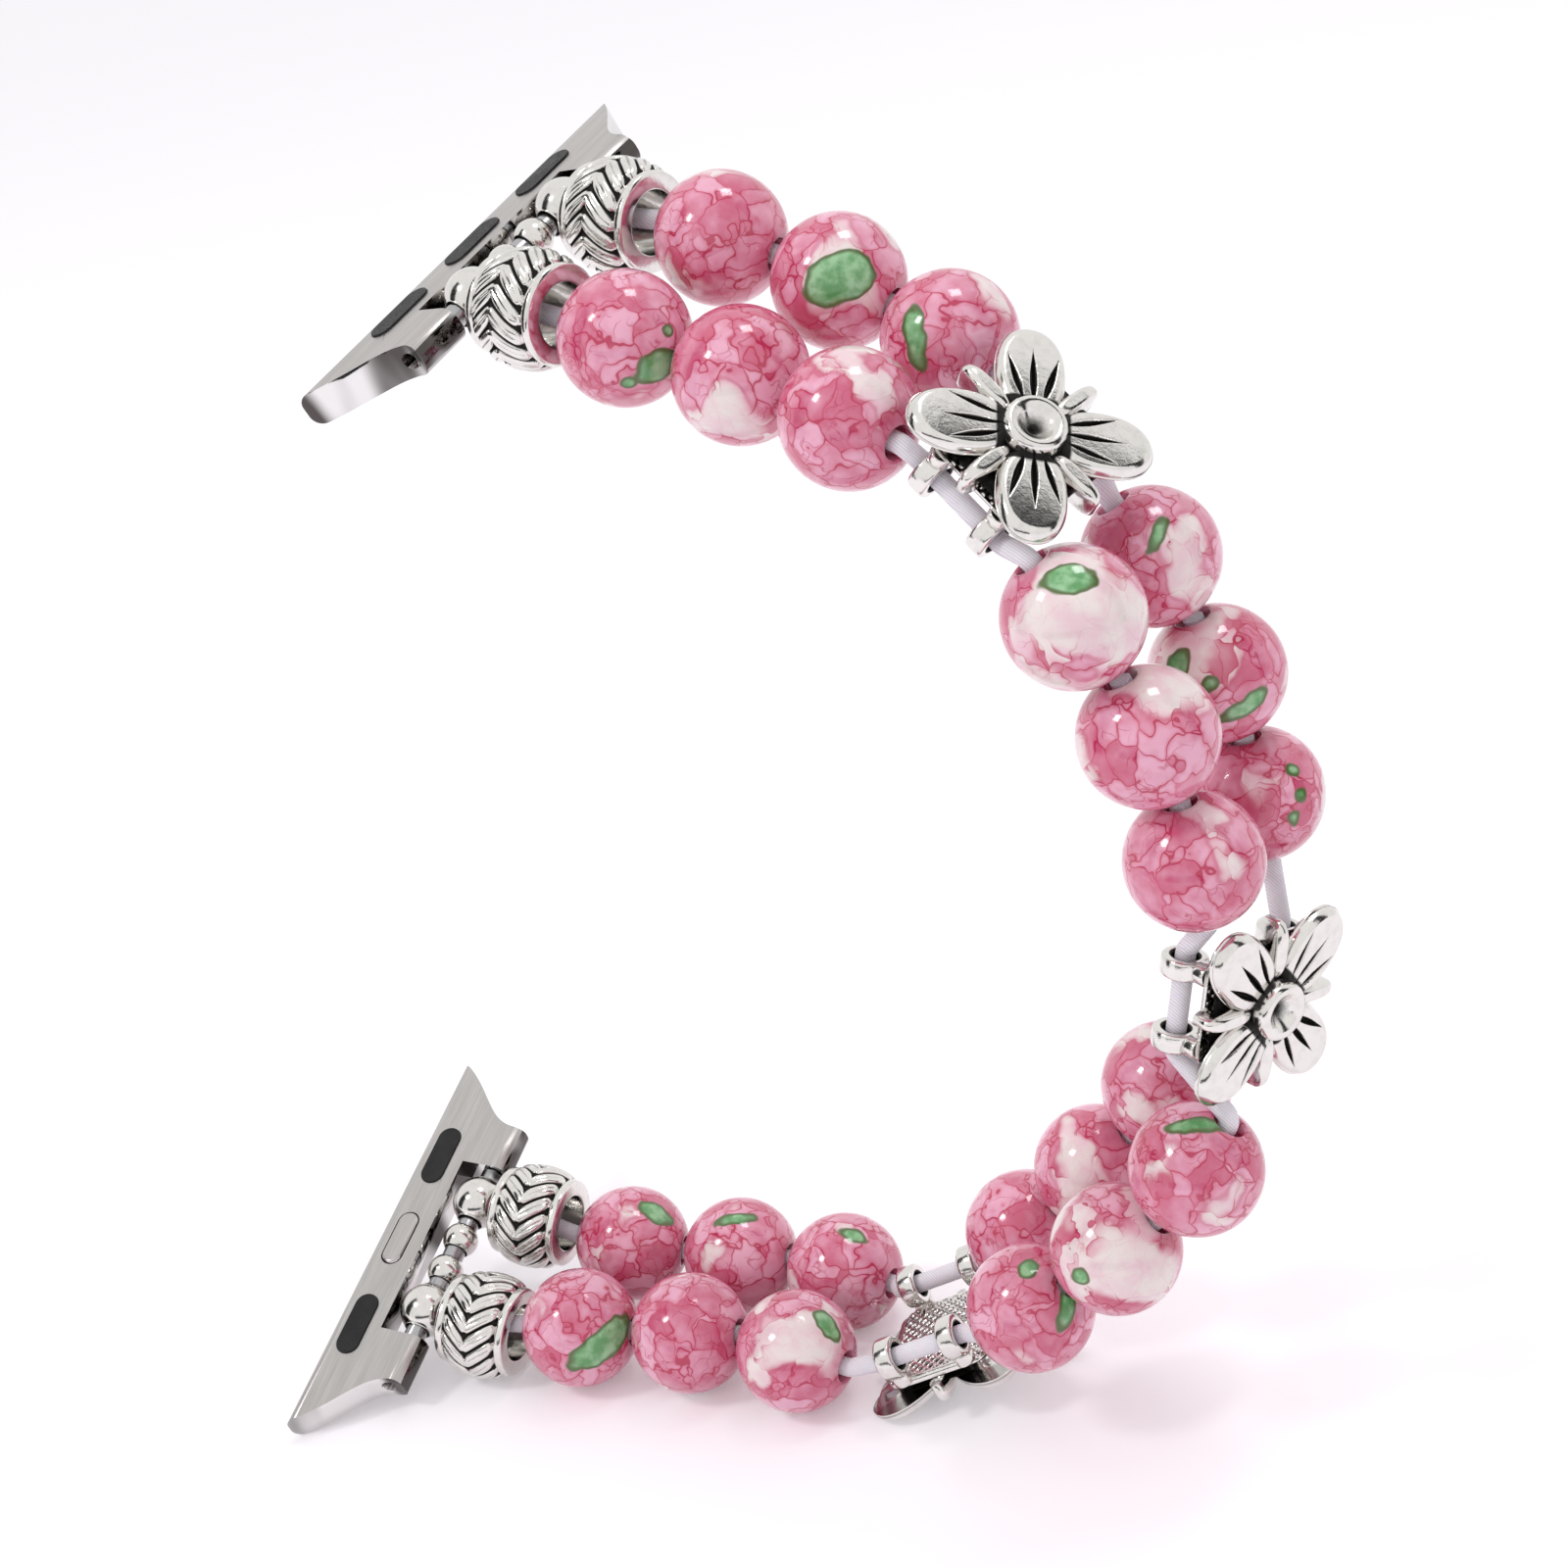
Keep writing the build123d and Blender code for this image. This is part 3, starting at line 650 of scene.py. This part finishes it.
def barrel_shape():
    """Two smooth rims, and two rings of slanted leaves that meet in chevrons round the middle.

    The radius is an elliptic swell along x plus the leaves' height. A leaf's height is
    flat across its phase and falls at its edges; the phase turns with the angle and |x|.
    """
    steps, leaves, slant = 320, 16, 1.15
    half_band, band_r, swell, half_swell = 1.9, 2.9, 0.75, 1.95
    leaf_height, leaf_width, vein_depth, vein_width = 0.30, 0.475, 0.10, 0.035
    rim = rounded([(-2.6, 1.9), (-2.6, 3.1), (-1.98, 3.1), (-1.9, 2.62)], 0.22)[:-4]
    rim_inset, dip_x, dip_r = 0.04, -1.93, 2.52
    a = np.linspace(0, 2 * math.pi, steps, endpoint=False)[None, :]
    x = np.linspace(-half_band, half_band, 77)[:, None]

    def circle(x, r):
        """Points at the angles a, with x and r of one or more rows."""
        x = np.broadcast_to(x, (np.size(x), steps))
        return np.stack([x, r * np.cos(a), r * np.sin(a)], -1)

    base = band_r + swell * np.sqrt(np.clip(1 - (x / half_swell) ** 2, 0, 1)) ** 0.9
    reach = np.abs(x) / half_band
    turn = a * leaves / (2 * math.pi) + slant * reach
    phase = turn - np.floor(turn) - 0.5
    ends = 1 - (2 * np.clip(reach, 0.03, 0.97) - 1.0) ** 8
    width = leaf_width * np.sqrt(np.clip(ends, 0, 1))
    leaf = np.clip(1 - (np.abs(phase) / np.maximum(width, 0.02)) ** 4, 0, 1) ** 0.6
    vein = np.exp(-(phase / vein_width) ** 2) * np.clip(1 - (2 * reach - 1) ** 4, 0, 1)
    height = leaf_height * (leaf - 1) - vein_depth * vein
    dark = np.clip((-height - 0.07) / 0.10, 0, 1.0) + 0.5 * vein
    left = np.concatenate([circle(ex, er - rim_inset) for ex, er in rim])
    dark_left = np.repeat(0.6 * (rim[:, 1:] <= 2.0), steps, 1)
    dip, dark_dip = circle(dip_x, dip_r), np.ones_like(a)
    flip = [-1, 1, 1]
    points = np.concatenate([left, dip, circle(x, base + height), dip * flip, left[::-1] * flip])
    hollow = np.concatenate([dark_left, dark_dip, dark, dark_dip, dark_left[::-1]])
    shape = Shape()
    shape.add(points, grid(len(points), steps, True, True)[:, ::-1], hollow)
    return shape


barrel = barrel_shape()
for name, place in barrel_places.items():
    build(f"{name}_engraved", barrel, place, name, ANTIQUE, [name])


# Flower spacers

def disc(n):
    """A square block of n by n points moved so that its square rings become circles."""
    t = np.linspace(-1, 1, n)
    u, v = np.meshgrid(t, t, indexing="ij")
    big = np.abs(u) >= np.abs(v)
    r = np.where(big, u, v)
    quarter = math.pi / 4
    with np.errstate(divide="ignore", invalid="ignore"):
        phi = np.where(big, quarter * np.where(u != 0, v / u, 0),
                       2 * quarter - quarter * np.where(v != 0, u / v, 0))
    return r * np.cos(phi), r * np.sin(phi)


def pad_top(n, half_l, half_w, low, high, edge, power):
    """Blocks of x, y and z over a flat-topped pad with rounded sides.

    The disc is stretched to a superellipse of the given power. Over its outer share, edge,
    the height falls along a quarter circle, by rim_fall of the way from high to low.
    """
    rim_fall = 0.45
    x, y = disc(n)
    rho = np.sqrt(x * x + y * y)
    squash = (np.abs(x) ** power + np.abs(y) ** power) ** (1 / power)
    across = np.clip((rho - (1 - edge)) / edge, 0, 1)
    reach = np.where(rho > 1 - edge, (1 - edge) + edge * np.sin(across * math.pi / 2), rho)
    fall = 1 - np.sqrt(np.clip(1 - ((reach - (1 - edge)) / edge).clip(0, 1) ** 2, 0, 1))
    stretch = np.where(rho > 0, reach / np.maximum(squash, 1e-9), 1.0)
    return x * stretch * half_l, y * stretch * half_w, high - (high - low) * rim_fall * fall


def closed_pad(shape, x, y, z, low, hollow, place, bevel=0.01):
    """Adds the top block and its side down to low, with a slanted lower rim."""
    n = x.shape[0]
    shape.add(np.stack([x, y, z], -1), grid(n, n), hollow, place)
    rim = np.concatenate([np.arange(n), np.arange(2 * n - 1, n * n, n),
                          np.arange(n * n - 2, n * n - n - 1, -1),
                          np.arange(n * n - 2 * n, 0, -n)])
    top = np.stack([x.ravel()[rim], y.ravel()[rim], z.ravel()[rim]], -1)
    flat = top * [1, 1, 0]
    middle = flat.mean(0)
    arm = flat - middle
    foot = flat - arm * bevel / np.linalg.norm(arm, axis=1)[:, None]
    block = np.stack([top, flat + [0, 0, low + bevel], foot + [0, 0, low],
                      middle + 0.2 * arm + [0, 0, low]])
    dark = np.repeat([0.05, 0.05, 0.1, 0.1], len(rim))
    shape.add(block, grid(4, len(rim), wrap_cols=True), dark, place)


def add_petal(shape, place, low):
    """A wide pad with three carved grooves that spread outwards, each a V pointed at its ends."""
    half_l, half_w, top, out, under_bevel = 2.95, 2.0, 3.9, 3.95, 1.1
    grooves = ((-17, 1.55), (0, 1.75), (17, 1.55))  # lean and half length
    groove_out, groove_half_w, groove_depth, full_depth_w = 3.45, 0.21, 0.42, 0.16
    x, y, z = pad_top(111, half_l, half_w, low, top, edge=0.22, power=2.2)
    x = x + out
    z = z - 0.08 * ((x - 4.0) / 2.9) ** 2 - 0.05 * (y / half_w) ** 2
    dark = np.clip((2.3 - x) / 0.4, 0, 1)
    for lean, half in grooves:
        c, s = math.cos(math.radians(lean)), math.sin(math.radians(lean))
        run, off = x * c + y * s - groove_out, -x * s + y * c
        taper = np.clip(1.0 - 0.45 * run / half, 0, 1.5)
        width = groove_half_w * np.clip(1 - (run / half) ** 2, 0, 1) * taper
        cut = np.clip(1 - np.abs(off) / np.maximum(width, 1e-3), 0, 1) * (width > 0.004)
        z = z - groove_depth * cut ** 0.8 * np.clip(width / full_depth_w, 0, 1)
        dark = np.maximum(dark, np.clip(cut * 2.6, 0, 1))
    closed_pad(shape, x, y, z, low, dark, place, under_bevel)


def add_back_plate(shape):
    """A rear plate with slanted rows of pits, and its inner face."""
    outer, inner, pitted, inner_z = (3.8, 4.3), (3.7, 4.2), (3.4, 3.9), 2.68
    low, high, mirror_z, pitch, pit_r, pit_depth = 1.7, 2.7, 4.4, 0.78, 0.37, 0.25
    x, y, z = pad_top(131, *outer, low, high, edge=0.06, power=7.0)
    u, v = (x + y) / pitch, (x - y) / pitch
    dot = np.hypot(u - np.round(u), v - np.round(v))
    inside = (np.abs(x) < pitted[0]) * (np.abs(y) < pitted[1])
    pit = np.clip((pit_r - dot) / 0.08, 0, 1) * inside
    shape.add(np.stack([x, y, mirror_z - z + pit_depth * pit], -1), grid(131, 131)[:, ::-1], pit)
    x, y, _ = pad_top(31, *inner, low, high, edge=0.06, power=7.0)
    shape.add(np.stack([x, y, np.full_like(x, inner_z)], -1), grid(31, 31), 0.7)


def flower_shape():
    """Four wide petals, four narrow bars, a core with a dimpled eye, a rear plate, four loops."""
    shape = Shape()
    lift = 2.2
    bar_half_l, bar_half_w, bar_top, bar_out = 1.85, 0.55, 3.8, 3.45
    for number in range(4):
        add_petal(shape, turned(0, 0, 45 + 90 * number), lift)
        x, y, z = pad_top(41, bar_half_l, bar_half_w, lift, bar_top, edge=0.55, power=2.8)
        closed_pad(shape, x + bar_out, y, z, lift, 0.0, turned(0, 0, 90 * number))
    upright = turned(0, -90, 0)
    core = rounded([(2.2, 0.3), (3.5, 0.3), (3.5, 3.2), (2.2, 3.2)], 0.3)
    shape.lathe(core, upright, 64, np.full(len(core), 1.0))
    eye = [(2.5, 0.02), (3.62, 0.05), (3.65, 0.25), (4.25, 0.95), (4.46, 1.15), (4.55, 1.42),
           (4.5, 1.64), (4.32, 1.76), (4.0, 1.8), (3.5, 1.8), (2.5, 1.8)]
    shape.lathe(eye, upright, 64, [0.9, 0.95, 0.7, 0.25, 0.0, 0.0, 0.0, 0.0, 0.2, 0.8, 0.9])
    add_back_plate(shape)
    loop_x, loop_y = 2.3, 4.0
    ring = rounded([(-0.6, 0.8), (0.6, 0.8), (0.6, 1.4), (-0.6, 1.4)], 0.22)
    post = rounded([(1.2, 0.02), (2.0, 0.02), (2.0, 0.70), (1.2, 0.70)], 0.1)
    for px in (-loop_x, loop_x):
        for py in (-loop_y, loop_y):
            shape.lathe(ring, shift(px, py, 0), 40, np.where(ring[:, 1] < 0.9, 0.8, 0.0))
            shape.lathe(post, shift(px, py, 0) @ upright, 24, np.full(len(post), 0.2))
    return shape


flower = flower_shape()
for number in (1, 2, 3):
    build(f"flower_{number}_cast", flower, places[f"flower{number}"][1], f"link_flower_{number}",
          ANTIQUE, [f"flower_{number}"])


# Bails and balls on the spring bars

def bored_ball(radius, edge, steps, mouth, mouth_dark):
    """Outline and dark field of a ball: an arc from edge to edge, then the bore's corners."""
    a = np.linspace(edge, math.pi - edge, steps)
    arc = [(-radius * math.cos(t), radius * math.sin(t)) for t in a]
    return arc + mouth, [0.05] * steps + mouth_dark


across_bar = turned(0, 0, 90)
head_r, head_half_w, ball_r, half_balls = 1.85, 1.62, 1.25, 1.32
head, head_dark = bored_ball(
    head_r, math.acos(head_half_w / head_r), 28,
    [(1.64, 0.98), (1.60, 0.87), (1.4, 0.86), (-1.4, 0.86), (-1.60, 0.87), (-1.64, 0.98)],
    [0.4, 0.7, 0.9, 0.9, 0.7, 0.4])
neck = rounded([(1.5, 0.7), (3.4, 0.7), (3.4, 1.3), (1.5, 1.3)], 0.15)
ball, ball_dark = bored_ball(
    ball_r, 0.78, 30, [(0.84, 0.86), (0.5, 0.85), (-0.5, 0.85), (-0.84, 0.86)], [0.6, 0.9, 0.9, 0.6])
for end in ("lower", "upper"):
    way = turned(0, 0, 180) if end == "upper" else np.eye(4)
    shape = Shape()
    for y in (half_strand, -half_strand):
        place = bars[end] @ shift(0, y, 0) @ way
        shape.lathe(head, place @ across_bar, 64, head_dark)
        shape.lathe(neck, place, 40, np.where(neck[:, 1] < 0.8, 0.9, 0.25))
    build(f"bails_{end}_polished", shape, np.eye(4), f"link_end_{end}", BRIGHT,
          [f"bails_{end}"])
    for side, y in (("near", half_balls), ("far", -half_balls)):
        name = f"{side}_ball_{end}"
        shape = Shape()
        shape.lathe(ball, across_bar, 56, ball_dark)
        build(f"{name}_polished", shape, bars[end] @ shift(0, y, 0), name, BRIGHT,
              [name])


# Nodes whose CAD shape is right: welded, lightly bevelled and given a material

def refine(name, material, bevel=0.0, side=None, up=None):
    """A side material goes to the faces that stand square to the direction up."""
    side_limit = 0.6
    node = nodes[name]
    node.data.materials.clear()
    node.data.materials.append(material)
    if side:
        node.data.materials.append(side)
        turn = node.matrix_world.to_3x3()
        for face in node.data.polygons:
            facing_up = abs((turn @ face.normal).normalized().dot(Vector(up)))
            face.material_index = int(facing_up < side_limit)
    weld = node.modifiers.new("weld", "WELD")
    weld.merge_threshold = 1e-6
    if bevel:
        edge = node.modifiers.new("bevel", "BEVEL")
        edge.width = bevel / 1000
        edge.segments = 2
        edge.limit_method = "ANGLE"
        edge.angle_limit = math.radians(40)
        edge.harden_normals = True


for end in ("lower", "upper"):
    face = brushed(f"brushed_{end}", plates[end])
    side = polished(f"polished_side_{end}", plates[end])
    refine(f"plate_{end}", face, 0.10, side, plates[end][:3, 2])
    refine(f"pads_{end}", RUBBER, 0.12)
    refine(f"latch_button_{end}", face, 0.0, side, plates[end][:3, 2])
    refine(f"bar_{end}", STEEL, 0.05)
    refine(f"bar_tip_{end}", STEEL)
for name in nodes:
    if name.startswith("cord_"):
        refine(name, ELASTIC)


# Coil springs for the spring bars and the latch buttons

def coil(radius, wire, start, end, turns):
    """A helix about Z with a round wire that closes to a point at each end."""
    steps_per_turn, wire_sides = 28, 10
    count = steps_per_turn * turns + 1
    t = np.linspace(0, 1, count)
    around = 2 * math.pi * turns * t
    thick = wire * np.clip(np.minimum(t, 1 - t) * count / 2, 0.02, 1)
    out = np.stack([np.cos(around), np.sin(around), 0 * t], 1)
    rise = start + wire + (end - start - 2 * wire) * t
    middle = radius * out + np.stack([0 * t, 0 * t, rise], 1)
    a = np.linspace(0, 2 * math.pi, wire_sides, endpoint=False)[None, :, None]
    ring = np.cos(a) * out[:, None] + np.sin(a) * np.array([0, 0, 1.0])
    shape = Shape()
    shape.add(middle[:, None] + thick[:, None, None] * ring,
              grid(count, wire_sides, wrap_cols=True)[:, ::-1], 0.1)
    return shape


latch_out = 3.95
bar_foot, latch_foot = 2.33, 0.33
bar_coil = coil(radius=0.36, wire=0.11, start=bar_foot, end=5.47, turns=8)
latch_coil = coil(radius=0.47, wire=0.05, start=-0.28, end=latch_foot, turns=3)
for end in ("lower", "upper"):
    along_bar = bars[end] @ turned(-90, 0, 0)
    latch = plates[end] @ shift(latch_out, 0, 0)
    for name, shape, place, foot, joint, keep in (
            ("bar_spring", bar_coil, along_bar, bar_foot, "bar_tip", 0.65),
            ("latch_spring", latch_coil, latch, latch_foot, "latch_button", 0.19)):
        piece = build(f"{name}_{end}_coil", shape, place, f"adapter_{end}", STEEL,
                      [f"{name}_{end}"])
        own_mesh(piece)


# Floor, light and background

def shown_rays(tree):
    """One for rays that the picture shows straight, in a mirror or through a clear piece."""
    path = tree.nodes.new("ShaderNodeLightPath").outputs
    shown = path["Is Camera Ray"]
    for kind in ("Is Glossy Ray", "Is Transmission Ray"):
        larger = tree.nodes.new("ShaderNodeMath")
        larger.operation = "MAXIMUM"
        tree.links.new(shown, larger.inputs[0])
        tree.links.new(path[kind], larger.inputs[1])
        shown = larger.outputs[0]
    return shown


def sheet(name, w, h):
    """A flat rectangle with half sides w and h."""
    mesh = bpy.data.meshes.new(name)
    mesh.from_pydata([(-w, -h, 0), (w, -h, 0), (w, h, 0), (-w, h, 0)], [], [(0, 1, 2, 3)])
    piece = bpy.data.objects.new(name, mesh)
    bpy.context.scene.collection.objects.link(piece)
    return piece


def point_at(piece, place, aim):
    """Puts a piece in its place with its local -Z towards the aim."""
    piece.location = place
    piece.rotation_euler = (Vector(aim) - Vector(place)).to_track_quat("-Z", "Y").to_euler()


def floor():
    """A pale floor that glows a little where the picture shows it."""
    glow = 0.22
    piece = sheet("floor", 3, 3)
    n = Nodes("pale_floor")
    n.surface(Base_Color=linear(248, 245, 250), Roughness=0.9, Specular_IOR_Level=0.0,
              Emission_Color=linear(255, 253, 255),
              Emission_Strength=n.math("MULTIPLY", shown_rays(n.tree), glow))
    piece.data.materials.append(n.material)


def lamp(name, side, power, place, aim):
    """A square area light."""
    data = bpy.data.lights.new(name, "AREA")
    data.shape = "RECTANGLE"
    data.size = data.size_y = side
    data.energy = power
    piece = bpy.data.objects.new(name, data)
    point_at(piece, place, aim)
    bpy.context.scene.collection.objects.link(piece)


def card(name, size, place, aim):
    """A dark card out of the picture that gives the metal something dark to show."""
    piece = sheet(name, size[0] / 2, size[1] / 2)
    point_at(piece, place, aim)
    n = Nodes(name)
    n.surface(Base_Color=linear(20, 20, 20), Roughness=1.0)
    piece.data.materials.append(n.material)
    piece.visible_camera = piece.visible_shadow = piece.visible_diffuse = False


floor()
lamp("window_left", 0.09, 0.52, (-0.25, -0.25, 0.42), (0, 0, 0.03))
lamp("window_top", 0.12, 0.45, (0.12, 0.10, 0.55), (0, 0, 0.03))
card("card_left", (0.10, 0.35), (-0.20, -0.10, 0.12), (0, 0, 0.04))
card("card_front", (0.30, 0.05), (0.02, -0.26, 0.03), (0, 0, 0.04))
card("card_right", (0.08, 0.35), (0.24, 0.02, 0.15), (0, 0, 0.04))

room_light = 0.76
world = bpy.data.worlds.new("studio")
world.use_nodes = True
bpy.context.scene.world = world
tree = world.node_tree
back = tree.nodes["Background"]
back.inputs["Color"].default_value = (1, 1, 1, 1)
level = tree.nodes.new("ShaderNodeMapRange")
level.inputs["To Min"].default_value = room_light
level.inputs["To Max"].default_value = 1.0
tree.links.new(shown_rays(tree), level.inputs["Value"])
tree.links.new(level.outputs["Result"], back.inputs["Strength"])
bpy.context.scene.view_settings.view_transform = "Standard"
